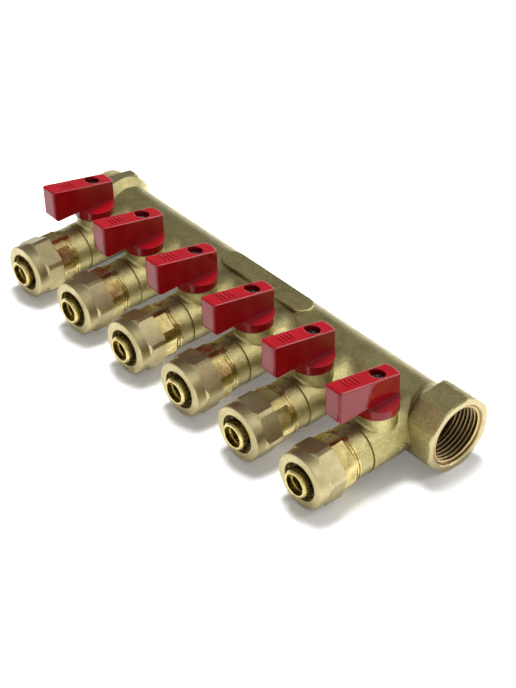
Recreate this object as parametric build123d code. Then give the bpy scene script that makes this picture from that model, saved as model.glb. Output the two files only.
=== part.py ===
from build123d import *
import math
import os

# Heating manifold: a brass distribution tube with a row of ball valves and compression outlets.
# Millimetres. The tube runs along X, the outlets point to -Y and the levers stand on top (+Z).
# The origin is the centre of the female port's face, and the body reaches from there to -X.

# Row of valves
valve_count = 6
outlet_pitch = 36.0
first_valve_from_port = 21.6
last_valve_to_spigot_end = 26.0
stem_offset = 23.7

# Main tube
tube_diameter = 25.1
tube_bore = 19.0

# Octagonal female end, its thread bored to the root of a G 3/4 thread
octagon_sides = 8
octagon_across_flats = 31.5
octagon_corner_diameter = 33.0
octagon_length = 16.5
octagon_rear_round = 3.0
octagon_taper_length = 3.5
port_thread_root_diameter = 26.44
port_thread_depth = 13.5
port_chamfer = 0.5

# Hexagon collar and male spigot at the far end, the spigot at the root of a G 3/4 thread
collar_sides = 6
collar_across_flats = 29.2
collar_corner_diameter = 33.6
collar_length = 5.2
collar_turn = -6.0
collar_chamfer = 1.1
collar_chamfer_length = 0.55
shoulder_diameter = 31.4
shoulder_length = 1.2
shoulder_taper_length = 4.0
spigot_thread_root_diameter = 24.12
spigot_length = 7.8
spigot_chamfer = 1.0

# Valve housings of the forging: a neck that blends into the tube, a boss and an outlet socket
neck_diameter = 22.0
neck_blend = 4.5
neck_root_margin = 2.5
boss_diameter = 16.6
boss_top = 15.0
boss_chamfer = 0.6
boss_blend = 1.2
outlet_end = 41.0
outlet_turned_length = 6.2
outlet_turned_diameter = 21.4
outlet_line_width = 0.6
outlet_line_depth = 0.5

# Raised plaque on top of the tube
plaque_length = 54.0
plaque_width = 10.2
plaque_height = 1.1
plaque_middle_from_port = 112.0
plaque_edge = 0.4

# Ball and its seats
ball_diameter = 16.4
ball_clearance = 0.35
waterway_diameter = 10.0
slot_width = 3.6
slot_depth = 2.2
seat_reach = 8.4
seat_inner_reach = 4.8
seat_clearance = 0.1
seat_fit = 0.05

# Seal rings: every corner of their section is bevelled by a share of its width
seal_bevel_share = 0.25

# Stem and its seal
stem_diameter = 8.0
stem_running_clearance = 0.05
stem_flange_diameter = 11.0
stem_flange_top = 10.5
stem_flange_thickness = 1.6
stem_groove_height = 2.0
stem_groove_bottom = 11.6
stem_groove_depth = 1.3
stem_square = 5.6
stem_square_bottom = 16.0
stem_top = 24.5
tang_clearance = 0.1
tang_length = 8.0

# Travel stop: a lug on the boss in a pocket under the lever's hub
closing_angle = 90.0
stop_lug_angle = 36.0
stop_lug_height = 1.8
stop_lug_inner_diameter = 11.4
stop_lug_outer_diameter = 14.6
stop_clearance = 0.3
stop_angle_clearance = 1.5

# Lever
hub_diameter = 18.2
hub_gap = 0.3
hub_rim_top = 18.7
hub_slope_top = 20.0
lever_reach = 23.2
lever_width = 8.4
lever_underside = 21.0
lever_top_at_stem = 30.9
lever_rise_angle = 12.8
lever_end_round = 1.2
lever_toe_round = 2.2
lever_edge = 0.7
dimple_length = 4.4
dimple_height = 1.8
dimple_depth = 0.3
dimple_forward = -0.8
dimple_level = 25.3
drive_clearance = 0.05
drive_end_gap = 0.2
lever_web = 2.4

# Handle screw
screw_recess_diameter = 6.6
screw_head_diameter = 5.8
screw_head_height = 1.6
screw_shank_diameter = 3.9
screw_length = 6.5
screw_hole_clearance = 0.1
screw_end_gap = 0.5
cross_width = 1.0
cross_length = 3.6
cross_depth = 0.9

# Outlet nipple, measured along the outlet from the tube's axis
nipple_thread_diameter = 18.6
nipple_thread_clearance = 0.05
flange_ring_diameter = 22.0
flange_ring_width = 0.9
flange_groove_diameter = 20.8
flange_groove_width = 0.5
nipple_neck_width = 0.6
band_end = 49.9
band_sides = 6
band_across_flats = 22.0
band_corner_diameter = 23.2
nut_thread_diameter = 19.5
nut_thread_end = 54.2
barb_end = 65.4
barb_diameter = 11.8
barb_tip_chamfer = 0.6
nipple_waterway_diameter = 7.4
barb_mouth_diameter = 9.2
barb_mouth_depth = 2.6
barb_socket_sides = 6
barb_hexagon = 7.6
barb_hexagon_depth = 5.0
o_ring_places = (57.2, 60.4)
o_ring_section = 1.5
barb_groove_depth = 1.1
barb_groove_width = 1.9
seal_fit = 0.03

# Insulating ring, split ring and compression nut
insulating_ring_thickness = 1.0
insulating_ring_diameter = 17.8
insulating_ring_fit = 0.1
split_ring_gap = 0.1
split_ring_end = 61.3
split_ring_bore = 16.1
split_ring_slit = 2.2
split_ring_slit_angle = -28.0
cone_clearance = 0.06
nut_back = 50.0
nut_face = 62.9
nut_collar_length = 4.6
nut_collar_diameter = 23.8
nut_face_chamfer = 0.4
nut_sides = 6
nut_across_flats = 23.0
nut_corner_diameter = 25.5
nut_bore = 20.0
nut_hole = 16.56
nut_thread_depth = 6.2
nut_lip = 1.0
nut_turns = (14.0, -4.0, 8.0, 18.0, 9.0, 26.0)
nipple_turns = (28.0, 2.0, 14.0, 22.0, 12.0, 6.0)

# Worked out from the sizes above
stem_places = [-(first_valve_from_port + outlet_pitch * index) for index in range(valve_count)]
spigot_end = stem_places[-1] - last_valve_to_spigot_end
ball_radius = ball_diameter / 2
chamber_bore = ball_diameter + 2 * ball_clearance
seat_diameter = chamber_bore - 2 * seat_fit
socket_bore = nipple_thread_diameter + 2 * nipple_thread_clearance
rear_seat_place = stem_offset - seat_reach
front_seat_place = stem_offset + seat_reach
hub_bottom = boss_top + hub_gap
hub_radius = hub_diameter / 2
stem_bore = stem_diameter + 2 * stem_running_clearance
screw_seat = stem_top + drive_end_gap + lever_web
screw_tip = screw_seat - screw_length
screw_hole_radius = screw_shank_diameter / 2 + screw_hole_clearance
stem_hole_floor = screw_tip - screw_end_gap
lug_top = boss_top + stop_lug_height
plaque_embedded = plaque_height + plaque_width / 4
lever_plane = Plane((0, -stem_offset, 0), x_dir=(0, -1, 0), z_dir=(-1, 0, 0))
square_bore = stem_square + 2 * drive_clearance
band_start = outlet_end + 2 * flange_ring_width + 2 * flange_groove_width
nut_cone_start = nut_back + nut_thread_depth
nut_cone_end = nut_face - nut_lip
insulating_ring_end = nut_thread_end + insulating_ring_thickness
split_ring_start = insulating_ring_end + split_ring_gap


def lever_top(forward):
    """Height of the lever's sloping top, at a distance forward of the stem."""
    return lever_top_at_stem + forward * math.tan(math.radians(lever_rise_angle))


def turned_along_x(points):
    """A solid turned about the tube's axis, from (x, radius) points."""
    outline = make_face(Polyline(*[(x, radius, 0) for x, radius in points], close=True))
    return revolve(outline, Axis.X)


def turned_along_outlet(points):
    """A solid turned about the outlet's axis at x = 0, from (distance, radius) points."""
    outline = make_face(Polyline(*[(radius, -distance, 0) for distance, radius in points], close=True))
    return revolve(outline, Axis.Y)


def turned_about_stem(points):
    """A solid turned about the stem's axis, from (radius, height) points, placed at x = 0."""
    outline = make_face(Polyline(*[(radius, 0, height) for radius, height in points], close=True))
    return Pos(0, -stem_offset, 0) * revolve(outline, Axis.Z)


def along_outlet(sketch, start, end):
    """A straight bar of a section, between two distances along the outlet at x = 0."""
    return extrude(Plane((0, -start, 0), x_dir=(1, 0, 0), z_dir=(0, -1, 0)) * sketch, end - start)


def upright(sketch, low, high):
    """A straight bar of a section round the stem's axis, between two heights at x = 0."""
    return extrude(Pos(0, -stem_offset, low) * sketch, high - low)


def across_flats(size, sides):
    """A regular polygon of a size across its flats."""
    return RegularPolygon(size / 2, sides, major_radius=False)


def at_valve(solid, index):
    """A piece modelled at x = 0, moved to its own valve."""
    return Pos(stem_places[index], 0, 0) * solid


def octagonal_end():
    """The female end: an octagon with turned corners, rounded off where it tapers into the tube."""
    half_turn_of_a_side = 360 / octagon_sides / 2
    section = Plane.YZ * Rot(0, 0, half_turn_of_a_side) * across_flats(octagon_across_flats, octagon_sides)
    flats = extrude(section, -octagon_length)
    flats = fillet(flats.edges().group_by(Axis.X)[0], octagon_rear_round)
    corner = octagon_corner_diameter / 2
    turned = turned_along_x(
        [
            (0, 0),
            (0, corner - port_chamfer),
            (-port_chamfer, corner),
            (-octagon_length, corner),
            (-octagon_length, 0),
        ]
    )
    taper_end = -octagon_length - octagon_taper_length
    taper_start = -octagon_length + octagon_taper_length
    taper = turned_along_x(
        [
            (taper_start, 0),
            (taper_start, octagon_across_flats / 2),
            (taper_end, tube_diameter / 2),
            (taper_end, 0),
        ]
    )
    return (flats & turned) + taper


def spigot_and_collar():
    """The far end: a round shoulder, a hexagon collar and the male spigot."""
    collar_end = spigot_end + spigot_length
    collar_start = collar_end + collar_length
    shoulder_start = collar_start + shoulder_length
    section = Plane.YZ.offset(collar_end) * Rot(0, 0, collar_turn) * across_flats(collar_across_flats, collar_sides)
    flats = extrude(section, collar_length)
    corner = collar_corner_diameter / 2
    turned = turned_along_x(
        [
            (collar_end, 0),
            (collar_end, corner - collar_chamfer),
            (collar_end + collar_chamfer_length, corner),
            (collar_start, corner),
            (collar_start, 0),
        ]
    )
    shoulder = turned_along_x(
        [
            (collar_start, 0),
            (collar_start, shoulder_diameter / 2),
            (shoulder_start, shoulder_diameter / 2),
            (shoulder_start + shoulder_taper_length, tube_diameter / 2),
            (shoulder_start + shoulder_taper_length, 0),
        ]
    )
    spigot_radius = spigot_thread_root_diameter / 2
    spigot = turned_along_x(
        [
            (spigot_end, 0),
            (spigot_end, spigot_radius - spigot_chamfer),
            (spigot_end + spigot_chamfer, spigot_radius),
            (collar_end, spigot_radius),
            (collar_end, 0),
        ]
    )
    return (flats & turned) + shoulder + spigot


def neck_and_boss():
    """The round neck rooted in a stretch of tube, with the stem's boss on it, at x = 0."""
    half_stretch = neck_diameter / 2 + neck_blend + neck_root_margin
    tube = turned_along_x(
        [
            (-half_stretch, 0),
            (-half_stretch, tube_diameter / 2),
            (half_stretch, tube_diameter / 2),
            (half_stretch, 0),
        ]
    )
    neck = along_outlet(Circle(neck_diameter / 2), 0, outlet_end - outlet_turned_length - outlet_line_width)
    rooted = tube + neck
    rooted = fillet(new_edges(tube, neck, combined=rooted), neck_blend)
    boss = upright(Circle(boss_diameter / 2), 0, boss_top)
    boss = chamfer(boss.edges().group_by(Axis.Z)[-1], boss_chamfer)
    housing = rooted + boss
    return fillet(new_edges(rooted, boss, combined=housing), boss_blend)


def stop_lug():
    """The lug on the boss that the lever's pocket turns against, at x = 0."""
    ring = Circle(stop_lug_outer_diameter / 2) - Circle(stop_lug_inner_diameter / 2)
    return upright(ring & sector(90 - stop_lug_angle / 2, 90 + stop_lug_angle / 2), boss_top, lug_top)


def sector(start, end):
    """A flat sector between two angles, counted from +X towards +Y, wider than the hub."""
    angles = (start, (start + end) / 2, end)
    rim = [Vector(hub_diameter, 0).rotate(Axis.Z, angle) for angle in angles]
    return make_face(Polyline((0, 0), *rim, close=True))


def turned_outlet():
    """The turned end of the outlet with the thin line cut behind it, at x = 0."""
    turned_start = outlet_end - outlet_turned_length
    turned = outlet_turned_diameter / 2
    return turned_along_outlet(
        [
            (turned_start - outlet_line_width, 0),
            (turned_start - outlet_line_width, turned - outlet_line_depth),
            (turned_start, turned - outlet_line_depth),
            (turned_start, turned),
            (outlet_end, turned),
            (outlet_end, 0),
        ]
    )


def valve_cavity():
    """What is bored out of the forging for one valve, at x = 0."""
    waterway = along_outlet(Circle(waterway_diameter / 2), 0, rear_seat_place)
    chamber = along_outlet(Circle(chamber_bore / 2), rear_seat_place, front_seat_place)
    socket = along_outlet(Circle(socket_bore / 2), front_seat_place, outlet_end)
    stem_hole = upright(Circle(stem_bore / 2), 0, lug_top)
    flange_pocket = upright(Circle(stem_flange_diameter / 2 + stem_running_clearance), 0, stem_flange_top)
    return waterway + chamber + socket + stem_hole + flange_pocket


def raised_plaque():
    """The bare plaque with rounded ends on top of the tube."""
    base = -plaque_middle_from_port
    top = tube_diameter / 2 + plaque_height
    plaque = extrude(Pos(base, 0, top) * SlotOverall(plaque_length, plaque_width), -plaque_embedded)
    return chamfer(plaque.edges().group_by(Axis.Z)[-1], plaque_edge)


def tube_outside():
    """The outside of the main tube with its two ends, before it is bored."""
    tube_end = spigot_end + spigot_length + collar_length
    tube = turned_along_x(
        [
            (-octagon_length, 0),
            (-octagon_length, tube_diameter / 2),
            (tube_end, tube_diameter / 2),
            (tube_end, 0),
        ]
    )
    return tube + octagonal_end() + spigot_and_collar()


def manifold_body(outside):
    """The main tube with its two ends and its plaque, bored through and opened at each valve."""
    port = port_thread_root_diameter / 2
    passage = turned_along_x(
        [
            (0, 0),
            (0, port + port_chamfer),
            (-port_chamfer, port),
            (-port_thread_depth, port),
            (-port_thread_depth, tube_bore / 2),
            (spigot_end, tube_bore / 2),
            (spigot_end, 0),
        ]
    )
    body = outside + raised_plaque() - passage
    for index in range(valve_count):
        body -= at_valve(valve_cavity(), index)
    return body


def valve_housing(outside, index):
    """One valve's part of the forging, seated on the tube it is forged in one with."""
    housing = neck_and_boss() + stop_lug() + turned_outlet() - valve_cavity()
    return at_valve(housing, index) - outside


def valve_ball():
    """A ball with its waterway and a slot across the top for the stem's tang."""
    ball = Sphere(ball_radius)
    ball -= Rot(90, 0, 0) * Cylinder(waterway_diameter / 2, ball_diameter)
    slot = Pos(0, 0, ball_radius) * Box(ball_diameter, slot_width, 2 * slot_depth)
    return Pos(0, -stem_offset, 0) * (ball - slot)


def ball_seats():
    """The rear and front seat rings, coned at 45 degrees where they face the ball."""
    cone = (ball_radius + seat_clearance) * math.sqrt(2)
    rings = []
    for side in (-1, 1):
        ring = turned_along_outlet(
            [
                (stem_offset + side * (cone - waterway_diameter / 2), waterway_diameter / 2),
                (stem_offset + side * seat_reach, waterway_diameter / 2),
                (stem_offset + side * seat_reach, seat_diameter / 2),
                (stem_offset + side * seat_inner_reach, seat_diameter / 2),
                (stem_offset + side * seat_inner_reach, cone - seat_inner_reach),
            ]
        )
        rings.append(ring)
    return rings


def valve_stem():
    """The stem: tang, retaining flange, sealed shaft and square drive with a tapped end."""
    shaft = stem_diameter / 2
    flange = stem_flange_diameter / 2
    flange_bottom = stem_flange_top - stem_flange_thickness
    flange_seat = stem_flange_top - stem_running_clearance
    groove_top = stem_groove_bottom + stem_groove_height
    stem = turned_about_stem(
        [
            (0, flange_bottom),
            (flange, flange_bottom),
            (flange, flange_seat),
            (shaft, flange_seat),
            (shaft, stem_groove_bottom),
            (shaft - stem_groove_depth, stem_groove_bottom),
            (shaft - stem_groove_depth, groove_top),
            (shaft, groove_top),
            (shaft, stem_square_bottom),
            (0, stem_square_bottom),
        ]
    )
    slot_floor = ball_radius - slot_depth
    tang = upright(
        Rectangle(tang_length, slot_width - 2 * tang_clearance), slot_floor + tang_clearance, flange_bottom
    )
    square = upright(Rectangle(stem_square, stem_square), stem_square_bottom, stem_top)
    screw_hole = upright(Circle(screw_hole_radius), stem_hole_floor, stem_top)
    return stem + tang + square - screw_hole


def bevelled_section(inner, outer, low, high):
    """The section of a seal ring: a rectangle with bevelled corners, as (radius, place) points."""
    bevel = seal_bevel_share * (outer - inner)
    return [
        (inner, low + bevel),
        (inner + bevel, low),
        (outer - bevel, low),
        (outer, low + bevel),
        (outer, high - bevel),
        (outer - bevel, high),
        (inner + bevel, high),
        (inner, high - bevel),
    ]


def stem_o_ring():
    """The seal in the stem's groove, pressed square between the groove and the bore."""
    inner = stem_diameter / 2 - stem_groove_depth + seal_fit
    low = stem_groove_bottom + seal_fit
    high = stem_groove_bottom + stem_groove_height - seal_fit
    return turned_about_stem(bevelled_section(inner, stem_diameter / 2, low, high))


def barb_o_ring(place):
    """One of the two seals on a pipe barb, standing proud of it."""
    inner = barb_diameter / 2 - barb_groove_depth + seal_fit
    half = o_ring_section / 2
    section = bevelled_section(inner, inner + o_ring_section, place - half, place + half)
    return turned_along_outlet([(distance, radius) for radius, distance in section])


def lever_blade():
    """The blade of the lever: rounded behind the stem, with a sloping top and a flat underside."""
    strip = Pos(0, -lever_reach / 2) * Rectangle(lever_width, lever_reach)
    strip = fillet(strip.vertices().group_by(Axis.Y)[0], lever_end_round)
    heel = Circle(hub_radius) & Rectangle(lever_width, hub_diameter)
    blade = upright(strip + heel, hub_bottom, lever_top(lever_reach))
    step = math.sqrt(hub_radius**2 - (lever_width / 2) ** 2)
    side = make_face(
        Polyline(
            (-hub_radius, hub_bottom),
            (-hub_radius, lever_top(-hub_radius)),
            (lever_reach, lever_top(lever_reach)),
            (lever_reach, lever_underside),
            (step, lever_underside),
            (step, hub_bottom),
            close=True,
        )
    )
    toe = side.vertices().sort_by_distance((lever_reach, lever_underside, 0))[0]
    side = fillet(toe, lever_toe_round)
    blade &= extrude(lever_plane * side, lever_width, both=True)
    return fillet(blade.faces().sort_by(Axis.Z)[-1].edges(), lever_edge)


def lever_hub():
    """The round hub, its shoulders sloping down from the blade to the rim."""
    half = lever_width / 2
    shoulders = make_face(
        Polyline(
            (-hub_radius, hub_bottom),
            (-hub_radius, hub_rim_top),
            (-half, hub_slope_top),
            (half, hub_slope_top),
            (hub_radius, hub_rim_top),
            (hub_radius, hub_bottom),
            close=True,
        )
    )
    slopes = Pos(0, -stem_offset, 0) * extrude(Plane.XZ * shoulders, hub_diameter, both=True)
    return upright(Circle(hub_radius), hub_bottom, hub_slope_top) & slopes


def handle():
    """The lever, with its square drive, screw recess, stop pocket and side dimples."""
    lever = lever_hub() + lever_blade()
    lever -= upright(Circle(stem_bore / 2 + stop_clearance), hub_bottom, stem_square_bottom + stop_clearance)
    lever -= upright(Rectangle(square_bore, square_bore), hub_bottom, stem_top + drive_end_gap)
    lever -= upright(Circle(screw_hole_radius), stem_top, screw_seat)
    lever -= upright(Circle(screw_recess_diameter / 2), screw_seat, lever_top(lever_reach))
    pocket_ring = Circle(stop_lug_outer_diameter / 2 + stop_clearance)
    pocket_ring -= Circle(stop_lug_inner_diameter / 2 - stop_clearance)
    pocket_start = 90 - stop_lug_angle / 2 - stop_angle_clearance
    pocket_end = 90 + stop_lug_angle / 2 + closing_angle + stop_angle_clearance
    lever -= upright(pocket_ring & sector(pocket_start, pocket_end), hub_bottom, lug_top + stop_clearance)
    dimple = Pos(dimple_forward, dimple_level) * SlotOverall(dimple_length, dimple_height)
    for side in (-1, 1):
        face = Pos(side * lever_width / 2, 0, 0) * lever_plane
        lever -= extrude(face * dimple, dimple_depth, both=True)
    return lever


def handle_screw():
    """The screw that holds the lever on its stem, with a cross recess."""
    head = screw_head_diameter / 2
    shank = screw_shank_diameter / 2
    top = screw_seat + screw_head_height
    screw = turned_about_stem(
        [
            (0, screw_tip),
            (shank, screw_tip),
            (shank, screw_seat),
            (head, screw_seat),
            (head, top - screw_head_height / 2),
            (head - screw_head_height / 2, top),
            (0, top),
        ]
    )
    cross = Rectangle(cross_length, cross_width) + Rectangle(cross_width, cross_length)
    return screw - upright(cross, top - cross_depth, top)


def outlet_nipple(turn):
    """The nipple: socket thread, two flange rings, wrench band, nut thread and pipe barb."""
    thread = nipple_thread_diameter / 2
    ring = flange_ring_diameter / 2
    groove = flange_groove_diameter / 2
    barb = barb_diameter / 2
    outline = [
        (front_seat_place, 0),
        (front_seat_place, thread),
        (outlet_end - nipple_neck_width, thread),
        (outlet_end - nipple_neck_width, thread - nipple_neck_width),
        (outlet_end, thread - nipple_neck_width),
    ]
    for index in range(2):
        start = outlet_end + index * (flange_ring_width + flange_groove_width)
        outline += [(start, ring), (start + flange_ring_width, ring), (start + flange_ring_width, groove)]
        outline += [(start + flange_ring_width + flange_groove_width, groove)]
    outline += [(band_end, groove), (band_end, nut_thread_diameter / 2)]
    outline += [(nut_thread_end, nut_thread_diameter / 2), (nut_thread_end, barb)]
    for place in o_ring_places:
        start = place - barb_groove_width / 2
        end = place + barb_groove_width / 2
        outline += [(start, barb), (start, barb - barb_groove_depth), (end, barb - barb_groove_depth), (end, barb)]
    outline += [(barb_end - barb_tip_chamfer, barb), (barb_end, barb - barb_tip_chamfer), (barb_end, 0)]
    nipple = turned_along_outlet(outline)
    band = along_outlet(Rot(0, 0, turn) * across_flats(band_across_flats, band_sides), band_start, band_end)
    nipple += band & along_outlet(Circle(band_corner_diameter / 2), band_start, band_end)
    nipple -= along_outlet(Circle(nipple_waterway_diameter / 2), front_seat_place, barb_end)
    hexagon_end = barb_end - barb_mouth_depth
    hexagon = Rot(0, 0, turn) * across_flats(barb_hexagon, barb_socket_sides)
    nipple -= along_outlet(hexagon, hexagon_end - barb_hexagon_depth, hexagon_end)
    nipple -= along_outlet(Circle(barb_mouth_diameter / 2), hexagon_end, barb_end)
    return nipple


def compression_nut(turn):
    """The union nut: a hexagon with turned corners, a round collar and a coned seat inside."""
    corner = nut_corner_diameter / 2
    collar = nut_collar_diameter / 2
    collar_start = nut_face - nut_collar_length
    hexagon = along_outlet(Rot(0, 0, turn) * across_flats(nut_across_flats, nut_sides), nut_back, collar_start)
    turned = turned_along_outlet(
        [
            (nut_back, 0),
            (nut_back, corner - nut_face_chamfer),
            (nut_back + nut_face_chamfer, corner),
            (collar_start - (corner - collar), corner),
            (collar_start, collar),
            (collar_start, 0),
        ]
    )
    round_collar = turned_along_outlet(
        [
            (collar_start, 0),
            (collar_start, collar),
            (nut_face - nut_face_chamfer, collar),
            (nut_face, collar - nut_face_chamfer),
            (nut_face, 0),
        ]
    )
    inside = turned_along_outlet(
        [
            (nut_back, 0),
            (nut_back, nut_bore / 2),
            (nut_cone_start, nut_bore / 2),
            (nut_cone_end, nut_hole / 2),
            (nut_face, nut_hole / 2),
            (nut_face, 0),
        ]
    )
    return (hexagon & turned) + round_collar - inside


def split_ring():
    """The slit clamping ring whose cone matches the seat inside the nut."""
    cone_share = (split_ring_end - nut_cone_start) / (nut_cone_end - nut_cone_start)
    tip = nut_bore / 2 - cone_share * (nut_bore - nut_hole) / 2 - cone_clearance
    ring = turned_along_outlet(
        [
            (split_ring_start, split_ring_bore / 2),
            (split_ring_start, nut_bore / 2 - cone_clearance),
            (nut_cone_start, nut_bore / 2 - cone_clearance),
            (split_ring_end, tip),
            (split_ring_end, split_ring_bore / 2),
        ]
    )
    slit = Pos(nut_bore / 2, 0) * Rectangle(nut_bore, split_ring_slit)
    return ring - along_outlet(Rot(0, 0, split_ring_slit_angle) * slit, split_ring_start, split_ring_end)


def insulating_ring():
    """The plastic ring between the nipple's shoulder and the pipe's end."""
    inner = barb_diameter / 2 + insulating_ring_fit
    ring = Circle(insulating_ring_diameter / 2) - Circle(inner)
    return along_outlet(ring, nut_thread_end, insulating_ring_end)


def write(name, *solids):
    """One sub-part's file, of a single solid or of a group of separate ones."""
    shape = solids[0] if len(solids) == 1 else Compound(list(solids))
    export_step(shape, os.path.join("parts", name + ".step"))


os.makedirs("parts", exist_ok=True)
outside = tube_outside()
write("manifold_body", manifold_body(outside))
lever = handle()
screw = handle_screw()
stem = valve_stem()
stem_seal = stem_o_ring()
ball = valve_ball()
seats = ball_seats()
ring = split_ring()
for index in range(valve_count):
    number = str(index + 1)
    write("valve_housing_" + number, valve_housing(outside, index))
    write("handle_" + number, at_valve(lever, index))
    write("handle_screw_" + number, at_valve(screw, index))
    write("valve_stem_" + number, at_valve(stem, index))
    write("stem_o_ring_" + number, at_valve(stem_seal, index))
    write("valve_ball_" + number, at_valve(ball, index))
    write("ball_seats_" + number, *[at_valve(seat, index) for seat in seats])
    write("outlet_nipple_" + number, at_valve(outlet_nipple(nipple_turns[index]), index))
    write("compression_nut_" + number, at_valve(compression_nut(nut_turns[index]), index))
    write("split_ring_" + number, at_valve(ring, index))
seals = [barb_o_ring(place) for place in o_ring_places]
write("barb_o_rings", *[at_valve(seal, index) for index in range(valve_count) for seal in seals])
write("insulating_rings", *[at_valve(insulating_ring(), index) for index in range(valve_count)])
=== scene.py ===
import bmesh
import bpy
import math
from bpy.props import FloatProperty, FloatVectorProperty, IntProperty, PointerProperty
from mathutils import Euler, Matrix, Vector


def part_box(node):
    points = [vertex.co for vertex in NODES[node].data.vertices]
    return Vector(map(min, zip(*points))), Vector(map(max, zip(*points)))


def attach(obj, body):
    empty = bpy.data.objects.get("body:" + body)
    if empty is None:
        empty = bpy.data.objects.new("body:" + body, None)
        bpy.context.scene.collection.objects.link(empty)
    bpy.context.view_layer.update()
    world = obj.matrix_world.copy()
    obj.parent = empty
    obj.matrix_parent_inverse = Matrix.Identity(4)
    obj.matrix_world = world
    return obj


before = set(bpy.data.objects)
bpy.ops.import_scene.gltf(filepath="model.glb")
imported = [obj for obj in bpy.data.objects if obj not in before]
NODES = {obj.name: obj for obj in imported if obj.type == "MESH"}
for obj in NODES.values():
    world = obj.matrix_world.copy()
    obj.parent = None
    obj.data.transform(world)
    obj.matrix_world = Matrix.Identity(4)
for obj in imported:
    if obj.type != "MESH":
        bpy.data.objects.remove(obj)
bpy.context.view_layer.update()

bl_info = {
    "name": "Heating manifold",
    "version": (1, 0, 0),
    "blender": (4, 5, 0),
    "location": "3D View > Sidebar > Manifold",
    "description": "Finishes, threads and stage for a brass heating manifold with lever valves",
    "category": "Object",
}

MM = 0.001
WELL_CLEAR = 10 * MM  # a ray that looks for a face starts this far outside the part
MERGE_DISTANCE = 0.002 * MM  # vertices nearer than this are one
SMOOTH_ANGLE = math.radians(35)  # edges sharper than this stay sharp


def numbered(stem):
    """The frame's nodes of one kind, in the order of the valves."""
    return [NODES[name] for name in sorted(NODES) if name.rsplit("_", 1)[0] == stem]


def node_box(name):
    """A node's lowest and highest corner as vectors."""
    low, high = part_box(name)
    return Vector(low), Vector(high)


BALL_BOXES = [node_box(ball.name) for ball in numbered("valve_ball")]
STEM_PLACES = [(low + high) / 2 for low, high in BALL_BOXES]
PITCH = STEM_PLACES[0].x - STEM_PLACES[1].x
BODY_LOW, BODY_HIGH = node_box("manifold_body")


# Colours of the small pieces

STEEL_GRIME, STEEL_BARE = (0.09, 0.088, 0.08), (0.48, 0.47, 0.43)
CHROME = (0.62, 0.62, 0.64)
PLASTIC_DARK, PLASTIC_LIGHT = (0.74, 0.73, 0.70), (0.86, 0.86, 0.84)
RUBBER_DARK, RUBBER_LIGHT = (0.012, 0.012, 0.013), (0.035, 0.034, 0.033)


# Shader graphs

class Wire:
    """A socket or a number in a material's graph, with arithmetic."""

    def __init__(self, graph, socket):
        self.graph = graph
        self.socket = socket

    def _math(self, operation, *values):
        return self.graph.add("ShaderNodeMath", {"operation": operation}, list(values))

    def __add__(self, other):
        return self._math("ADD", self, other)

    def __radd__(self, other):
        return self._math("ADD", other, self)

    def __sub__(self, other):
        return self._math("SUBTRACT", self, other)

    def __rsub__(self, other):
        return self._math("SUBTRACT", other, self)

    def __mul__(self, other):
        return self._math("MULTIPLY", self, other)

    def __rmul__(self, other):
        return self._math("MULTIPLY", other, self)

    def __truediv__(self, other):
        return self._math("DIVIDE", self, other)

    def __mod__(self, other):
        return self._math("FLOORED_MODULO", self, other)

    def absolute(self):
        return self._math("ABSOLUTE", self)

    def root(self):
        return self._math("SQRT", self)

    def angle_from(self, other):
        return self._math("ARCTAN2", self, other)

    def larger(self, other):
        return self._math("MAXIMUM", self, other)

    def between(self, low, high):
        """0 at or under low, 1 at or over high, smooth in between."""
        values = {"Value": self, "From Min": low, "From Max": high}
        return self.graph.add("ShaderNodeMapRange", {"interpolation_type": "SMOOTHSTEP"}, values)


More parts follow.
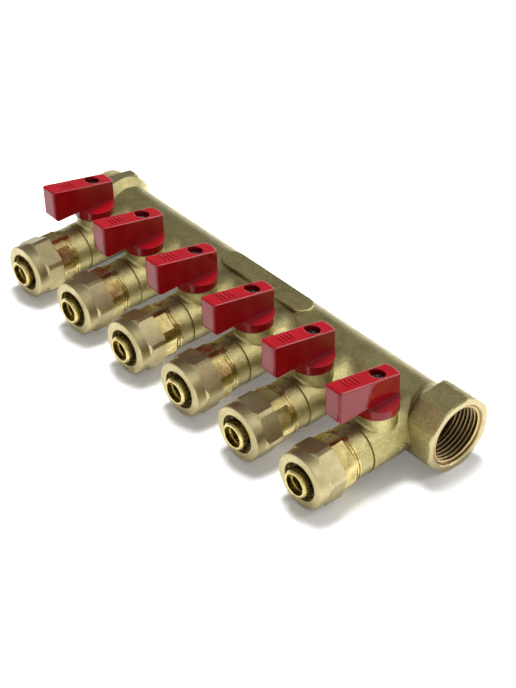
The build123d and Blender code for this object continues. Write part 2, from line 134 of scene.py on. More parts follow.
class Graph:
    """A material's node graph that ends in one Principled shader."""

    def __init__(self, name):
        self.material = bpy.data.materials.new(name)
        self.material.use_nodes = True
        self.tree = self.material.node_tree
        self.tree.nodes.clear()
        self.output = self.tree.nodes.new("ShaderNodeOutputMaterial")

    @classmethod
    def of_world(cls, world):
        """A world's graph, which ends in its own output."""
        graph = cls.__new__(cls)
        world.use_nodes = True
        graph.tree = world.node_tree
        graph.tree.nodes.clear()
        graph.output = graph.tree.nodes.new("ShaderNodeOutputWorld")
        return graph

    def add(self, kind, settings=None, values=None, result=0):
        """One node: its settings first, then the values or links of its sockets."""
        node = self.tree.nodes.new(kind)
        for key, value in (settings or {}).items():
            setattr(node, key, value)
        pairs = enumerate(values) if isinstance(values, list) else (values or {}).items()
        for key, value in pairs:
            socket = node.inputs[key]
            if isinstance(value, Wire):
                self.tree.links.new(value.socket, socket)
            else:
                socket.default_value = value
        return Wire(self, node.outputs[result])

    def place(self):
        """Object coordinates in millimetres, as a vector."""
        values = {0: self.add("ShaderNodeTexCoord", result="Object"), "Scale": 1 / MM}
        return self.add("ShaderNodeVectorMath", {"operation": "SCALE"}, values)

    def parts(self, vector):
        """The three numbers of a vector."""
        node = self.tree.nodes.new("ShaderNodeSeparateXYZ")
        self.tree.links.new(vector.socket, node.inputs[0])
        return [Wire(self, socket) for socket in node.outputs]

    def vector(self, x, y, z):
        return self.add("ShaderNodeCombineXYZ", None, [x, y, z])

    def noise(self, vector, size, detail=3.0, roughness=0.55):
        """Noise from 0 to 1 whose features measure about the size, in millimetres."""
        values = {"Vector": vector, "Scale": 1 / size, "Detail": detail, "Roughness": roughness}
        return self.add("ShaderNodeTexNoise", None, values)

    def cells(self, vector, size):
        """Distance to the nearest of many scattered points, about the size apart."""
        return self.add("ShaderNodeTexVoronoi", None, {"Vector": vector, "Scale": 1 / size})

    def mix(self, share, first, second):
        """A colour between two others."""
        node = self.tree.nodes.new("ShaderNodeMix")
        node.data_type = "RGBA"
        for name, value in (("Factor", share), ("A", first), ("B", second)):
            socket = [s for s in node.inputs if s.name == name and s.enabled][0]
            if isinstance(value, Wire):
                self.tree.links.new(value.socket, socket)
            else:
                socket.default_value = value if name == "Factor" else (*value, 1.0)
        return Wire(self, [s for s in node.outputs if s.enabled][0])

    def soft_edges(self, radius):
        """A normal that rounds every edge and crease by a radius in millimetres."""
        return self.add("ShaderNodeBevel", {"samples": 6}, {"Radius": radius * MM}, result="Normal")

    def crevice(self, reach):
        """0 in the open and up to 1 deep in a crevice, looked for within a reach in millimetres; it
        masks the painted shade in crevices.
        """
        values = {"Distance": reach * MM}
        return 1.0 - self.add("ShaderNodeAmbientOcclusion", {"samples": 8}, values, result="AO")

    def bump(self, height, depth, strength=1.0, normal=None):
        """A normal from a height of 0 to 1, which stands for a depth in millimetres."""
        values = {"Height": height, "Distance": depth * MM, "Strength": strength}
        if normal:
            values["Normal"] = normal
        return self.add("ShaderNodeBump", None, values, result="Normal")

    def rays(self):
        """1 on rays from the camera, and 1 on rays off metal or through glass."""
        path = self.tree.nodes.new("ShaderNodeLightPath")
        names = ("Is Camera Ray", "Is Glossy Ray", "Is Transmission Ray")
        camera, glossy, transmission = [Wire(self, path.outputs[name]) for name in names]
        return camera, glossy.larger(transmission)

    def finish(self, **sockets):
        """The Principled shader, from socket names with underscores for spaces."""
        values = {name.replace("_", " "): value for name, value in sockets.items()}
        for name, value in values.items():
            if isinstance(value, tuple) and len(value) == 3:
                values[name] = (*value, 1.0)
        shader = self.add("ShaderNodeBsdfPrincipled", None, values)
        self.tree.links.new(shader.socket, self.output.inputs["Surface"])
        return self.material


def about_outlet(graph, place):
    """Distance from the nearest outlet's axis, angle round it and place along it, in millimetres."""
    x, y, z = graph.parts(place)
    pitch = PITCH / MM
    first = STEM_PLACES[0].x / MM
    across = (x - (first - pitch / 2)) % pitch - pitch / 2
    radius = (across * across + z * z).root()
    return radius, z.angle_from(across), y


def cast_brass(settings, name, edge):
    """Forged and sandblasted brass, cut bright on the port's face and brown inside the port.

    The edge is the radius to which the light rounds edges and creases, in millimetres. Painted shade
    darkens the crevices, and the thin line turned round each outlet keeps clear of most of it.
    """
    graph = Graph(name)
    place = graph.place()
    x, y, z = graph.parts(place)
    cloud = graph.noise(place, 16.0, 4.0)
    mottle = graph.noise(place, 2.4, 3.0)
    grain = graph.noise(place, 0.5, 3.0, 0.8)
    pits = graph.cells(place, 0.8)
    shade = (cloud * 0.25 + mottle * 0.15 + grain * 0.60).between(0.39, 0.61)
    blasted = graph.mix(shade, settings.cast_dark, settings.cast_light)
    # Painted shade: crevices found by ambient occlusion are darkened towards the crevice shade
    # colour, less along the outlets' thin line.
    groove = 1.0 - (y + settings.outlet_line).absolute().between(0.35, 0.75)
    painted_shade = graph.crevice(18.0).between(0.12, 0.75) * (0.85 - 0.55 * groove)
    blasted = graph.mix(painted_shade, blasted, settings.painted_crevice_shade)
    front = BODY_HIGH.x / MM
    face = x.between(front - 0.75, front - 0.55)
    cut = graph.mix(face, blasted, graph.mix(mottle, settings.nut_dark, settings.nut_light))
    reach = (y * y + z * z).root()
    bottom = front - settings.port_depth
    within = 1.0 - reach.between(settings.port_radius - 0.1, settings.port_radius + 0.1)
    inside = within * (1.0 - face) * x.between(bottom, bottom + 1.0)
    colour = graph.mix(inside, cut, graph.mix(cloud, settings.port_dark, settings.port_light))
    height = 0.7 * grain + 0.3 * pits.between(0.0, 0.5)
    rough = 0.30 + 0.16 * grain - 0.10 * face
    blasting = height * (1.0 - 0.8 * face)
    normal = graph.bump(blasting, settings.grain_depth, 1.0, graph.soft_edges(edge))
    return graph.finish(Base_Color=colour, Metallic=1.0, Roughness=rough, Normal=normal)


def thread_brass(settings):
    """Cut brass, darker and browner towards the thread's roots."""
    graph = Graph("thread_brass")
    place = graph.place()
    _, y, z = graph.parts(place)
    reach = (y * y + z * z).root()
    blotch = graph.noise(place, 5.0, 3.0)
    depth = reach.between(settings.port_radius - 1.3, settings.port_radius - 0.2)
    brown = graph.mix(blotch, settings.port_dark, settings.port_light)
    colour = graph.mix(depth, settings.thread_crest, brown)
    roughness = 0.28 + 0.12 * blotch
    normal = graph.bump(graph.noise(place, 0.4, 2.0), 0.03, 0.8, graph.soft_edges(0.1))
    return graph.finish(Base_Color=colour, Metallic=1.0, Roughness=roughness, Normal=normal)


def machined_brass(settings):
    """Satin brass with fine turning marks round each outlet, and painted shade darkening its
    crevices.
    """
    graph = Graph("machined_brass")
    place = graph.place()
    radius, angle, along = about_outlet(graph, place)
    rings = graph.noise(graph.vector(radius * 6.0, angle * 0.7, along * 6.0), 1.0, 3.0, 0.6)
    blotch = graph.noise(place, 6.0, 3.0)
    speck = graph.noise(place, 0.45, 3.0, 0.8)
    shade = (blotch * 0.35 + speck * 0.65).between(0.38, 0.62)
    colour = graph.mix(shade, settings.nut_dark, settings.nut_light)
    # Painted shade: the nuts' crevices darkened towards the crevice shade colour.
    colour = graph.mix(graph.crevice(6.0).between(0.25, 0.9) * 0.7, colour, settings.painted_crevice_shade)
    roughness = 0.37 + 0.06 * rings + 0.06 * blotch
    normal = graph.bump(rings * 0.3 + speck * 0.7, 0.07, 1.0, graph.soft_edges(0.12))
    return graph.finish(Base_Color=colour, Metallic=1.0, Roughness=roughness, Normal=normal)


def polished_brass(settings):
    """Bright turned brass, with faint rings and handling smears."""
    graph = Graph("polished_brass")
    place = graph.place()
    radius, angle, along = about_outlet(graph, place)
    rings = graph.noise(graph.vector(radius * 5.0, angle * 0.4, along * 5.0), 1.0, 2.0)
    smear = graph.noise(place, 3.0, 3.0)
    colour = graph.mix(smear.between(0.30, 0.70), settings.polished_dark, settings.polished_light)
    roughness = 0.24 + 0.06 * smear
    normal = graph.bump(rings, 0.02, 0.6, graph.soft_edges(0.12))
    return graph.finish(Base_Color=colour, Metallic=1.0, Roughness=roughness, Normal=normal)


def red_enamel(settings):
    """Glossy red enamel over a cast lever, a little uneven and rubbed."""
    graph = Graph("red_enamel")
    place = graph.place()
    ripple = graph.noise(place, 1.8, 2.0)
    tone = graph.noise(place, 7.0, 3.0)
    rub = graph.noise(place, 0.7, 3.0).between(0.55, 0.8)
    colour = graph.mix(tone.between(0.3, 0.7), settings.enamel_dark, settings.enamel_light)
    normal = graph.bump(ripple, 0.02, 0.5, graph.soft_edges(0.35))
    roughness = 0.05 + 0.10 * rub + 0.03 * tone
    return graph.finish(
        Base_Color=colour, Roughness=roughness, Specular_IOR_Level=0.34, Normal=normal,
    )


def screw_steel():
    """Plated steel with random patches of dark grime."""
    graph = Graph("screw_steel")
    place = graph.place()
    grime = graph.noise(place, 0.8, 3.0).between(0.35, 0.7)
    colour = graph.mix(grime, STEEL_GRIME, STEEL_BARE)
    normal = graph.bump(grime, 0.03, 0.5, graph.soft_edges(0.15))
    return graph.finish(Base_Color=colour, Metallic=1.0, Roughness=0.5 - 0.2 * grime, Normal=normal)


def plated_ball():
    """Chrome plating with faint rubbing marks from the seats."""
    graph = Graph("plated_ball")
    marks = graph.noise(graph.place(), 1.2, 3.0)
    normal = graph.bump(marks, 0.006, 0.4)
    roughness = 0.06 + 0.10 * marks
    return graph.finish(Base_Color=CHROME, Metallic=1.0, Roughness=roughness, Normal=normal)


def seat_plastic():
    """White PTFE, waxy and slightly uneven."""
    graph = Graph("seat_plastic")
    tone = graph.noise(graph.place(), 2.0, 2.0)
    colour = graph.mix(tone, PLASTIC_DARK, PLASTIC_LIGHT)
    normal = graph.bump(tone, 0.02, 0.3, graph.soft_edges(0.15))
    return graph.finish(Base_Color=colour, Roughness=0.42 + 0.1 * tone, Normal=normal)


def seal_rubber():
    """Black rubber with a dull bloom."""
    graph = Graph("seal_rubber")
    bloom = graph.noise(graph.place(), 0.9, 3.0)
    colour = graph.mix(bloom, RUBBER_DARK, RUBBER_LIGHT)
    normal = graph.bump(bloom, 0.02, 0.4, graph.soft_edges(0.3))
    return graph.finish(Base_Color=colour, Roughness=0.55 + 0.15 * bloom, Normal=normal)


def dress(nodes, material):
    """One material on every given node."""
    for node in nodes:
        node.data.materials.clear()
        node.data.materials.append(material)


# Modelling by hand

def nothing_selected():
    """Leaves object mode with nothing selected."""
    if bpy.context.object and bpy.context.object.mode != "OBJECT":
        bpy.ops.object.mode_set(mode="OBJECT")
    bpy.ops.object.select_all(action="DESELECT")


def take(piece):
    """Selects one piece alone and makes it active."""
    nothing_selected()
    piece.select_set(True)
    bpy.context.view_layer.objects.active = piece


def edit(piece, kind="VERT"):
    """Opens one piece for editing with nothing in it selected."""
    take(piece)
    bpy.ops.object.mode_set(mode="EDIT")
    bpy.ops.mesh.select_mode(type=kind)
    bpy.ops.mesh.select_all(action="DESELECT")


def pick(piece, test, kind="verts"):
    """Selects the vertices, edges or faces that pass a test, in edit mode."""
    mesh = bmesh.from_edit_mesh(piece.data)
    for item in getattr(mesh, kind):
        if test(item):
            item.select_set(True)
    mesh.select_flush_mode()
    bmesh.update_edit_mesh(piece.data)


def settle(piece, name, body, material):
    """Finishes a piece: place in its mesh, normals outwards, named, dressed and on its body."""
    take(piece)
    bpy.ops.object.transform_apply(location=True, rotation=True, scale=True)
    bpy.ops.object.mode_set(mode="EDIT")
    bpy.ops.mesh.select_all(action="SELECT")
    bpy.ops.mesh.remove_doubles(threshold=MERGE_DISTANCE)
    bpy.ops.mesh.normals_make_consistent(inside=False)
    bpy.ops.object.mode_set(mode="OBJECT")
    bpy.ops.object.shade_smooth_by_angle(angle=SMOOTH_ANGLE)
    piece.name = name
    piece.data.name = name
    piece.data.materials.clear()
    piece.data.materials.append(material)
    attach(piece, body)
    return piece


def helical_ridge(root_radius, crest_radius, pitch, start, end):
    """A thread's ridge about the X axis between two places, cut off square at both.

    Its foot spans most of the pitch and reaches a little into the metal under it.
    """
    foot_share, crest_share, rooted_share, steps_a_turn = 0.92, 0.16, 0.06, 56
    turns = math.ceil(abs(end - start) / pitch) + 2
    depth = abs(root_radius - crest_radius)
    outward = 1 if crest_radius > root_radius else -1
    bpy.ops.mesh.primitive_plane_add(size=1, location=(0, 0, 0))
    ridge = bpy.context.object
    edit(ridge)
    bpy.ops.mesh.select_all(action="SELECT")
    bpy.ops.transform.resize(value=(foot_share * pitch, depth * (1 + rooted_share), 1))
    bpy.ops.mesh.select_all(action="DESELECT")
    pick(ridge, lambda vertex: vertex.co.y * outward > 0)
    bpy.ops.transform.resize(value=(crest_share, 1, 1), center_override=(0, 0, 0))
    bpy.ops.mesh.select_all(action="SELECT")
    middle = (root_radius + crest_radius - outward * depth * rooted_share) / 2
    bpy.ops.transform.translate(value=(min(start, end) - pitch, middle, 0))
    bpy.ops.object.mode_set(mode="OBJECT")
    screw = ridge.modifiers.new("thread", "SCREW")
    screw.axis = "X"
    screw.screw_offset = pitch
    screw.iterations = turns
    screw.steps = steps_a_turn
    screw.render_steps = steps_a_turn
    screw.use_merge_vertices = False
    bpy.ops.object.modifier_apply(modifier=screw.name)
    edit(ridge)
    for place, direction in ((max(start, end), 1), (min(start, end), -1)):
        bpy.ops.mesh.select_all(action="SELECT")
        bpy.ops.mesh.bisect(
            plane_co=(place, 0, 0), plane_no=(direction, 0, 0), use_fill=True, clear_outer=True,
            threshold=1e-7,
        )
    bpy.ops.object.mode_set(mode="OBJECT")
    return ridge


def raised_bar(length, width, height, turn=0.0):
    """A low bar with rounded top edges, lying on z = 0 and turned about Z."""
    rounded_share, nearly_top = 0.45, 0.9 * height
    bpy.ops.mesh.primitive_cube_add(size=1, location=(0, 0, height / 2), rotation=(0, 0, turn))
    bar = bpy.context.object
    bar.scale = (length, width, height)
    take(bar)
    bpy.ops.object.transform_apply(location=True, rotation=True, scale=True)
    edit(bar, "EDGE")
    pick(bar, lambda edge: min(vertex.co.z for vertex in edge.verts) > nearly_top, "edges")
    bpy.ops.mesh.bevel(offset=rounded_share * height, segments=3, affect="EDGES")
    bpy.ops.object.mode_set(mode="OBJECT")
    return bar


def joined(pieces):
    """One object of several pieces."""
    take(pieces[0])
    for piece in pieces:
        piece.select_set(True)
    bpy.ops.object.join()
    return bpy.context.object


def laid_on(piece, node, start, direction, along, sunk):
    """Lays a piece modelled on z = 0 on the first face of a node that a ray meets, a little sunk.

    The piece's X axis points along the given direction, as far as the face allows.
    """
    inverse = node.matrix_world.inverted()
    found, place, normal, _ = node.ray_cast(inverse @ start, inverse.to_3x3() @ direction)
    if not found:
        raise RuntimeError(f"no face of {node.name} under {piece.name}")
    place = node.matrix_world @ place
    normal = (node.matrix_world.to_3x3() @ normal).normalized()
    along = (along - normal * normal.dot(along)).normalized()
    turn = Matrix((along, normal.cross(along), normal)).transposed().to_4x4()
    piece.matrix_world = Matrix.Translation(place - sunk * normal) @ turn
    return piece


# Sizes and colours that a user would change

class ManifoldFinish(bpy.types.PropertyGroup):
    cast_dark: FloatVectorProperty(
        name="Forging, dark", description="Darker tone of the blasted forging", subtype="COLOR",
        default=(0.375, 0.325, 0.135), min=0, max=1,
    )
    # Colour of the painted shade that darkens crevices on the forging and nuts.
    painted_crevice_shade: FloatVectorProperty(
        name="Forging, crevices", description="Tone of the forging's shaded crevices",
        subtype="COLOR", default=(0.115, 0.088, 0.036), min=0, max=1,
    )
    cast_light: FloatVectorProperty(
        name="Forging, light", description="Lighter tone of the blasted forging", subtype="COLOR",
        default=(0.68, 0.60, 0.285), min=0, max=1,
    )
    forged_round: FloatProperty(
        name="Forged rounding", description="Rounding of the forging's edges, in millimetres",
        default=0.6, min=0.1, max=3.0,
    )
    seam_round: FloatProperty(
        name="Housing rounding", description="Rounding of the housings' edges, in millimetres",
        default=0.05, min=0.01, max=1.0,
    )
    grain_depth: FloatProperty(
        name="Blasted grain", description="Depth of the forging's blasted grain, in millimetres",
        default=0.22, min=0.0, max=0.5,
    )
    outlet_line: FloatProperty(
        name="Outlet line", description="Millimetres from the tube's axis to the outlets' thin line",
        default=34.5, min=10, max=60,
    )
    port_radius: FloatProperty(
        name="Port radius", description="Radius of the port's bore, in millimetres",
        default=13.3, min=5, max=30,
    )
    port_depth: FloatProperty(
        name="Port depth", description="Depth of the port's bore, in millimetres",
        default=19.0, min=5, max=60,
    )
    port_dark: FloatVectorProperty(
        name="Port, dark", description="Darker tone inside the port", subtype="COLOR",
        default=(0.15, 0.075, 0.020), min=0, max=1,
    )
    port_light: FloatVectorProperty(
        name="Port, light", description="Lighter tone inside the port", subtype="COLOR",
        default=(0.34, 0.20, 0.070), min=0, max=1,
    )
    thread_crest: FloatVectorProperty(
        name="Thread crests", description="Tone of the thread's crests", subtype="COLOR",
        default=(0.60, 0.47, 0.23), min=0, max=1,
    )
    nut_dark: FloatVectorProperty(
        name="Nuts, dark", description="Darker tone of the machined nuts", subtype="COLOR",
        default=(0.375, 0.322, 0.163), min=0, max=1,
    )
    nut_light: FloatVectorProperty(
        name="Nuts, light", description="Lighter tone of the machined nuts", subtype="COLOR",
        default=(0.55, 0.475, 0.262), min=0, max=1,
    )
    polished_dark: FloatVectorProperty(
        name="Nipples, dark", description="Darker tone of the bright nipples", subtype="COLOR",
        default=(0.46, 0.365, 0.13), min=0, max=1,
    )
    polished_light: FloatVectorProperty(
        name="Nipples, light", description="Lighter tone of the bright nipples", subtype="COLOR",
        default=(0.68, 0.57, 0.25), min=0, max=1,
    )
    enamel_dark: FloatVectorProperty(
        name="Enamel, dark", description="Darker tone of the levers", subtype="COLOR",
        default=(0.245, 0.0003, 0.0045), min=0, max=1,
    )
    enamel_light: FloatVectorProperty(
        name="Enamel, light", description="Lighter tone of the levers", subtype="COLOR",
        default=(0.285, 0.0005, 0.0060), min=0, max=1,
    )


class ManifoldThread(bpy.types.PropertyGroup):
    pitch: FloatProperty(
        name="Pitch", description="Distance between thread crests",
        default=1.814 * MM, unit="LENGTH", min=0.5 * MM, max=4 * MM, precision=5,
    )
    major_radius: FloatProperty(
        name="Major radius", description="Radius of the thread's outer crest",
        default=13.22 * MM, unit="LENGTH", min=5 * MM, max=30 * MM, precision=5,
    )
    minor_radius: FloatProperty(
        name="Minor radius", description="Radius of the thread's inner crest",
        default=12.06 * MM, unit="LENGTH", min=5 * MM, max=30 * MM, precision=5,
    )
    port_start: FloatProperty(
        name="Port thread starts", description="Distance from the port's face to its first thread",
        default=0.6 * MM, unit="LENGTH", min=0, max=10 * MM, precision=5,
    )
    port_length: FloatProperty(
        name="Port thread length", description="Length of the thread inside the port",
        default=11.8 * MM, unit="LENGTH", min=2 * MM, max=20 * MM, precision=5,
    )
    spigot_start: FloatProperty(
        name="Spigot thread starts", description="Distance from the spigot's end to its first thread",
        default=0.6 * MM, unit="LENGTH", min=0, max=10 * MM, precision=5,
    )
    spigot_length: FloatProperty(
        name="Spigot thread length", description="Length of the thread on the spigot",
        default=6.2 * MM, unit="LENGTH", min=2 * MM, max=20 * MM, precision=5,
    )


class ManifoldRelief(bpy.types.PropertyGroup):
    rib_count: IntProperty(
        name="Ribs", description="Low grip ribs on each lever", default=4, min=1, max=8,
    )
    rib_length: FloatProperty(
        name="Rib length", description="Length of a rib across the lever",
        default=4.6 * MM, unit="LENGTH", min=1 * MM, max=8 * MM, precision=5,
    )
    rib_width: FloatProperty(
        name="Rib width", description="Width of a rib along the lever",
        default=0.75 * MM, unit="LENGTH", min=0.3 * MM, max=2 * MM, precision=5,
    )
    rib_height: FloatProperty(
        name="Rib height", description="Height of a rib above the lever",
        default=0.35 * MM, unit="LENGTH", min=0.1 * MM, max=1 * MM, precision=5,
    )
    rib_sunk: FloatProperty(
        name="Rib sunk", description="Depth to which a rib is set into the lever",
        default=0.1 * MM, unit="LENGTH", min=0, max=0.5 * MM, precision=5,
    )
    rib_spacing: FloatProperty(
        name="Rib spacing", description="Distance between ribs",
        default=1.9 * MM, unit="LENGTH", min=1 * MM, max=5 * MM, precision=5,
    )
    ribs_from_stem: FloatProperty(
        name="Ribs from stem", description="Distance of the ribs' middle from the stem",
        default=13.6 * MM, unit="LENGTH", min=5 * MM, max=20 * MM, precision=5,
    )
    mark_leg: FloatProperty(
        name="Mark leg", description="Length of each leg of the casting mark",
        default=2.6 * MM, unit="LENGTH", min=0.5 * MM, max=5 * MM, precision=5,
    )
    mark_width: FloatProperty(
        name="Mark width", description="Width of each leg of the casting mark",
        default=0.7 * MM, unit="LENGTH", min=0.2 * MM, max=2 * MM, precision=5,
    )
    mark_height: FloatProperty(
        name="Mark height", description="Height of the casting mark, its sunk foot included",
        default=0.65 * MM, unit="LENGTH", min=0.2 * MM, max=2 * MM, precision=5,
    )
    mark_sunk: FloatProperty(
        name="Mark sunk", description="Depth to which the casting mark is set into the neck",
        default=0.15 * MM, unit="LENGTH", min=0, max=0.5 * MM, precision=5,
    )
    mark_slant: FloatProperty(
        name="Mark slant", description="Angle of each leg of the casting mark to the level",
        default=math.radians(38), subtype="ANGLE", min=0, max=math.radians(80),
    )
    mark_forward: FloatProperty(
        name="Mark forward", description="Distance of the casting mark from the tube's axis",
        default=19.4 * MM, unit="LENGTH", min=12 * MM, max=30 * MM, precision=5,
    )
    mark_drop: FloatProperty(
        name="Mark drop", description="Distance of the casting mark below the tube's axis",
        default=0.2 * MM, unit="LENGTH", min=-5 * MM, max=5 * MM, precision=5,
    )


class ManifoldStage(bpy.types.PropertyGroup):
    floor_size: FloatProperty(
        name="Floor size", description="Width of the pale floor",
        default=6.0, unit="LENGTH", min=1, max=20,
    )
    floor_middle: FloatProperty(
        name="Floor middle", description="Place of the floor's middle along the tube",
        default=-0.11, unit="LENGTH", min=-0.3, max=0.1,
    )
    floor_gap: FloatProperty(
        name="Floor gap", description="Gap between the octagon and the floor",
        default=0.05 * MM, unit="LENGTH", min=0, max=1 * MM, precision=5,
    )
    octagon_foot: FloatProperty(
        name="Octagon foot", description="Distance in front of the axis at which the octagon rests",
        default=6.5 * MM, unit="LENGTH", min=0, max=15 * MM, precision=5,
    )
    nut_foot: FloatProperty(
        name="Nut foot", description="Distance behind the front of a nut at which it rests",
        default=5.5 * MM, unit="LENGTH", min=0, max=15 * MM, precision=5,
    )
    floor_glow: FloatProperty(
        name="Floor glow", description="White of the floor that shadows don't darken",
        default=0.15, min=0, max=1, subtype="FACTOR",
    )
    near_floor: FloatProperty(
        name="Near floor", description="Radius of the floor that takes all its light from the lamps",
        default=0.6, unit="LENGTH", min=0.2, max=5,
    )
    room_level: FloatProperty(
        name="Room light", description="Strength of the room's light on matt surfaces",
        default=0.28, min=0, max=2,
    )
    dim_side: FloatVectorProperty(
        name="Dim side", description="Direction in which the room is dimmest", subtype="DIRECTION",
        default=(-0.80, 0.20, 0.42), size=3,
    )
    dim_from: FloatProperty(
        name="Dims from", description="Cosine of the angle to the dim side where dimming starts",
        default=-0.10, min=-1, max=1,
    )
    dim_to: FloatProperty(
        name="Dimmest at", description="Cosine of the angle to the dim side where dimming ends",
        default=0.85, min=-1, max=1,
    )
    dim_level: FloatProperty(
        name="Dimmest level", description="Brightness of the room on its dim side",
        default=0.25, min=0, max=1,
    )
    lamps_aim: FloatVectorProperty(
        name="Lamps' aim", description="The point at which the lamps look", subtype="TRANSLATION",
        default=(-0.10, -0.03, 0.0), size=3,
    )
    key_lamp_place: FloatVectorProperty(
        name="Key lamp", description="Where the key lamp hangs", subtype="TRANSLATION",
        default=(-0.38, 0.28, 1.2), size=3,
    )
    key_lamp_size: FloatProperty(
        name="Key lamp size", description="Width of the key lamp",
        default=0.5, unit="LENGTH", min=0.05, max=5,
    )
    key_lamp_power: FloatProperty(
        name="Key lamp power", description="Power of the key lamp",
        default=26.0, unit="POWER", min=0, max=200,
    )
    sheen_box_place: FloatVectorProperty(
        name="Sheen box", description="Where the broad soft box hangs", subtype="TRANSLATION",
        default=(0.35, 0.45, 1.0), size=3,
    )
    sheen_box_size: FloatProperty(
        name="Sheen box size", description="Width of the broad soft box",
        default=1.3, unit="LENGTH", min=0.05, max=5,
    )
    sheen_box_power: FloatProperty(
        name="Sheen box power", description="Power of the broad soft box",
        default=0.9, unit="POWER", min=0, max=200,
    )
    edge_box_place: FloatVectorProperty(
        name="Edge box", description="Where the small soft box behind the manifold hangs",
        subtype="TRANSLATION", default=(0.48, 0.86, 0.56), size=3,
    )
    edge_box_size: FloatProperty(
        name="Edge box size", description="Width of the small soft box",
        default=0.26, unit="LENGTH", min=0.05, max=5,
    )
    edge_box_power: FloatProperty(
        name="Edge box power", description="Power of the small soft box",
        default=2.6, unit="POWER", min=0, max=200,
    )
    camera_azimuth: FloatProperty(
        name="Camera azimuth", description="Angle round the manifold, 0 looking along +Y",
        default=math.radians(49.92), subtype="ANGLE",
    )
    camera_elevation: FloatProperty(
        name="Camera elevation", description="Angle above the horizon",
        default=math.radians(38.25), subtype="ANGLE",
    )
    camera_roll: FloatProperty(
        name="Camera roll", description="Turn of the picture",
        default=math.radians(-1.16), subtype="ANGLE",
    )
    camera_place: FloatVectorProperty(
        name="Camera place", description="Where the camera stands", subtype="TRANSLATION",
        default=(0.31528, -0.36518, 0.42257), size=3, precision=5,
    )
    lens: FloatProperty(
        name="Lens", description="Focal length in millimetres", default=86.5, min=20, max=300,
    )


# Operators

class MANIFOLD_OT_brass(bpy.types.Operator):
    """Gives the forging, nuts, nipples and turned pieces their brass"""

    bl_idname = "manifold.brass"
    bl_label = "Finish the brass"

    def execute(self, context):
        finish = context.scene.manifold_finish
        dress([NODES["manifold_body"]], cast_brass(finish, "cast_brass", finish.forged_round))
        dress(numbered("valve_housing"), cast_brass(finish, "cast_brass_housing", finish.seam_round))
        dress(numbered("compression_nut"), machined_brass(finish))
        polished = polished_brass(finish)
        for stem in ("outlet_nipple", "split_ring", "valve_stem"):
            dress(numbered(stem), polished)
        return {"FINISHED"}


class MANIFOLD_OT_levers(bpy.types.Operator):
    """Gives the levers their enamel and the screws their steel"""

    bl_idname = "manifold.levers"
    bl_label = "Finish the levers"

    def execute(self, context):
        finish = context.scene.manifold_finish
        dress(numbered("handle"), red_enamel(finish))
        dress(numbered("handle_screw"), screw_steel())
        return {"FINISHED"}


class MANIFOLD_OT_inner_pieces(bpy.types.Operator):
    """Finishes the balls, seats and seals inside the valves and on the barbs"""

    bl_idname = "manifold.inner_pieces"
    bl_label = "Finish the inner pieces"

    def execute(self, context):
        dress(numbered("valve_ball"), plated_ball())
        dress([*numbered("ball_seats"), NODES["insulating_rings"]], seat_plastic())
        dress([*numbered("stem_o_ring"), NODES["barb_o_rings"]], seal_rubber())
        return {"FINISHED"}


class MANIFOLD_OT_threads(bpy.types.Operator):
    """Adds the ridges of the threads in the port and on the spigot"""

    bl_idname = "manifold.threads"
    bl_label = "Cut the threads"

    def execute(self, context):
        finish = context.scene.manifold_finish
        thread = context.scene.manifold_thread
        outer, inner, pitch = thread.major_radius, thread.minor_radius, thread.pitch
        brass = thread_brass(finish)
        nothing_selected()
        start = BODY_HIGH.x - thread.port_start
        port = helical_ridge(outer, inner, pitch, start, start - thread.port_length)
        settle(port, "port_thread", "manifold", brass)
        nothing_selected()
        start = BODY_LOW.x + thread.spigot_start
        spigot = helical_ridge(inner, outer, pitch, start, start + thread.spigot_length)
        settle(spigot, "spigot_thread", "manifold", machined_brass(finish))
        return {"FINISHED"}


class MANIFOLD_OT_relief(bpy.types.Operator):
    """Raises the grip ribs on the levers and the casting mark on the first neck"""

    bl_idname = "manifold.relief"
    bl_label = "Raise the relief"

    def execute(self, context):
        relief = context.scene.manifold_relief
        self.grip_ribs(relief)
        self.casting_mark(relief)
        return {"FINISHED"}

    def grip_ribs(self, relief):
        """Low ribs across each lever's top, modelled on the first lever and copied to the others."""
        nothing_selected()
        stem = STEM_PLACES[0]
        above = node_box("handle_1")[1].z + WELL_CLEAR
        down, across = Vector((0, 0, -1)), Vector((1, 0, 0))
        bars = []
        for index in range(relief.rib_count):
            offset = (index - (relief.rib_count - 1) / 2) * relief.rib_spacing
            bar = raised_bar(relief.rib_length, relief.rib_width, relief.rib_height + relief.rib_sunk)
            start = Vector((stem.x, stem.y - relief.ribs_from_stem - offset, above))
            bars.append(laid_on(bar, NODES["handle_1"], start, down, across, relief.rib_sunk))
        material = NODES["handle_1"].data.materials[0]
        first = settle(joined(bars), "grip_ribs_1", "valve_1", material)
        for index in range(1, len(STEM_PLACES)):
            copy = first.copy()
            copy.data = first.data.copy()
            bpy.context.scene.collection.objects.link(copy)
            copy.location = STEM_PLACES[index] - stem
            name = f"grip_ribs_{index + 1}"
            settle(copy, name, f"valve_{index + 1}", material)

    def casting_mark(self, relief):
        """A small raised chevron on the first valve's neck, on the side of the port."""
        nothing_selected()
        length, width, height = relief.mark_leg, relief.mark_width, relief.mark_height
        legs = []
        for side in (-1, 1):
            leg = raised_bar(length, width, height, side * relief.mark_slant)
            leg.location = (-side * length / 2 * math.cos(relief.mark_slant), 0, 0)
            legs.append(leg)
        mark = joined(legs)
        take(mark)
        bpy.ops.object.transform_apply(location=True, rotation=True, scale=True)
        start = Vector((BODY_HIGH.x + WELL_CLEAR, -relief.mark_forward, -relief.mark_drop))
        into_neck, outlet_line = Vector((-1, 0, 0)), Vector((0, 1, 0))
        laid_on(mark, NODES["valve_housing_1"], start, into_neck, outlet_line, relief.mark_sunk)
        material = NODES["manifold_body"].data.materials[0]
        settle(mark, "casting_mark", "manifold", material)


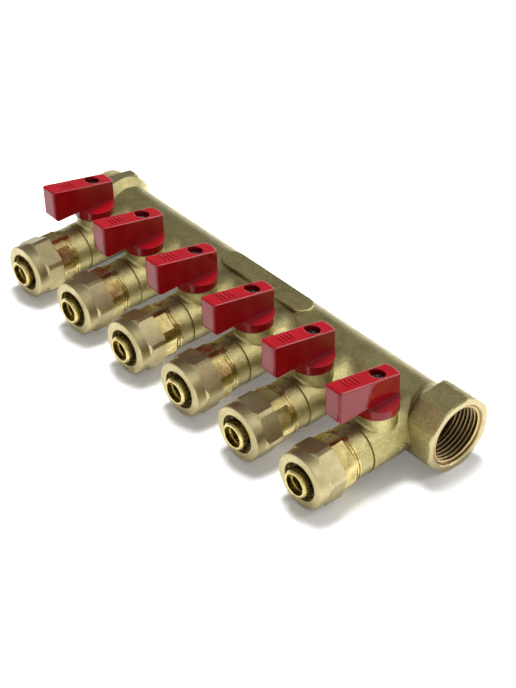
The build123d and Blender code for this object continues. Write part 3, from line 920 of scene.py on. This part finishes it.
class MANIFOLD_OT_stage(bpy.types.Operator):
    """Sets the pale floor, the soft light and the camera"""

    bl_idname = "manifold.stage"
    bl_label = "Set the stage"

    def execute(self, context):
        stage = context.scene.manifold_stage
        self.floor(stage)
        self.world(context.scene, stage)
        self.lamps(context.scene, stage)
        self.camera(context.scene, stage)
        context.scene.view_settings.view_transform = "Standard"
        return {"FINISHED"}

    def floor(self, stage):
        """A plane on which the manifold rests, under the octagon's front corner and the nuts."""
        nothing_selected()
        nut_boxes = [node_box(nut.name) for nut in numbered("compression_nut")]
        rear = Vector((0, -stage.octagon_foot, BODY_LOW.z))
        front = Vector((0, nut_boxes[0][0].y + stage.nut_foot, min(low.z for low, high in nut_boxes)))
        tilt = math.atan2(front.z - rear.z, front.y - rear.y)
        middle = Vector((stage.floor_middle, rear.y, rear.z - stage.floor_gap))
        bpy.ops.mesh.primitive_grid_add(
            x_subdivisions=8, y_subdivisions=8, size=stage.floor_size, location=middle,
        )
        floor = bpy.context.object
        floor.rotation_euler = (tilt, 0, 0)
        bpy.ops.object.transform_apply(location=True, rotation=True, scale=True)
        floor.name = "floor"
        floor.data.materials.append(self.pale_floor(stage))

    def pale_floor(self, stage):
        """White and matt, with a little light of its own on rays that see it, and more far off."""
        graph = Graph("pale_floor")
        matt = graph.add("ShaderNodeBsdfDiffuse", None, {"Color": (1, 1, 1, 1)})
        x, y, _ = graph.parts(graph.place())
        far = ((x * x + y * y).root() * MM).between(stage.near_floor, 2 * stage.near_floor)
        camera, mirrored = graph.rays()
        strength = camera.larger(mirrored) * (stage.floor_glow + (1.0 - stage.floor_glow) * far)
        glow = graph.add("ShaderNodeEmission", None, {"Strength": strength})
        both = graph.add("ShaderNodeAddShader", None, [matt, glow])
        graph.tree.links.new(both.socket, graph.output.inputs["Surface"])
        return graph.material

    def world(self, scene, stage):
        """A pale room that is white to the camera and dims towards the ceiling behind."""
        world = bpy.data.worlds.new("pale_studio")
        scene.world = world
        graph = Graph.of_world(world)
        direction = graph.add("ShaderNodeTexCoord", result="Generated")
        dim_side = tuple(Vector(stage.dim_side).normalized())
        cosine = {"operation": "DOT_PRODUCT"}
        towards = graph.add("ShaderNodeVectorMath", cosine, [direction, dim_side], result="Value")
        level = 1.0 - (1.0 - stage.dim_level) * towards.between(stage.dim_from, stage.dim_to)
        camera, mirrored = graph.rays()
        room = level * (stage.room_level + (1.0 - stage.room_level) * mirrored)
        strength = camera + (1.0 - camera) * room
        light = graph.add("ShaderNodeBackground", None, {"Color": (1, 1, 1, 1), "Strength": strength})
        graph.tree.links.new(light.socket, graph.output.inputs["Surface"])

    def lamps(self, scene, stage):
        """A key lamp that casts the shadows and is left out of reflections, with two soft boxes."""
        target = Vector(stage.lamps_aim)
        for name in ("key_lamp", "sheen_box", "edge_box"):
            place = Vector(getattr(stage, f"{name}_place"))
            lamp = bpy.data.lights.new(name, "AREA")
            lamp.size = getattr(stage, f"{name}_size")
            lamp.energy = getattr(stage, f"{name}_power")
            holder = bpy.data.objects.new(name, lamp)
            holder.visible_glossy = name != "key_lamp"
            holder.location = place
            holder.rotation_euler = (place - target).to_track_quat("Z", "Y").to_euler()
            scene.collection.objects.link(holder)

    def camera(self, scene, stage):
        """A camera at the photograph's place and angle."""
        lens = bpy.data.cameras.new("camera")
        lens.lens = stage.lens
        lens.sensor_width = 36.0
        lens.clip_start = 0.01
        lens.clip_end = 100.0
        holder = bpy.data.objects.new("camera", lens)
        scene.collection.objects.link(holder)
        turn = Euler((math.pi / 2 - stage.camera_elevation, 0, stage.camera_azimuth)).to_matrix()
        holder.rotation_euler = (turn @ Matrix.Rotation(stage.camera_roll, 3, "Z")).to_euler()
        holder.location = stage.camera_place
        scene.camera = holder


class MANIFOLD_PT_panel(bpy.types.Panel):
    """The manifold's sizes, colours and steps"""

    bl_label = "Heating manifold"
    bl_idname = "MANIFOLD_PT_panel"
    bl_space_type = "VIEW_3D"
    bl_region_type = "UI"
    bl_category = "Manifold"

    def draw(self, context):
        for group in GROUPS:
            settings = getattr(context.scene, group)
            box = self.layout.box()
            for name in settings.__annotations__:
                box.prop(settings, name)
        for operator in OPERATORS:
            self.layout.operator(operator.bl_idname)


OPERATORS = (
    MANIFOLD_OT_brass,
    MANIFOLD_OT_levers,
    MANIFOLD_OT_inner_pieces,
    MANIFOLD_OT_threads,
    MANIFOLD_OT_relief,
    MANIFOLD_OT_stage,
)
GROUPS = {
    "manifold_finish": ManifoldFinish,
    "manifold_thread": ManifoldThread,
    "manifold_relief": ManifoldRelief,
    "manifold_stage": ManifoldStage,
}


def register():
    for kind in (*GROUPS.values(), *OPERATORS, MANIFOLD_PT_panel):
        bpy.utils.register_class(kind)
    for name, group in GROUPS.items():
        setattr(bpy.types.Scene, name, PointerProperty(type=group))


def unregister():
    for name in GROUPS:
        delattr(bpy.types.Scene, name)
    for kind in reversed((*GROUPS.values(), *OPERATORS, MANIFOLD_PT_panel)):
        bpy.utils.unregister_class(kind)


def main():
    """Runs every step in order."""
    register()
    for operator in OPERATORS:
        group, name = operator.bl_idname.split(".")
        getattr(getattr(bpy.ops, group), name)()


if __name__ == "__main__":
    main()
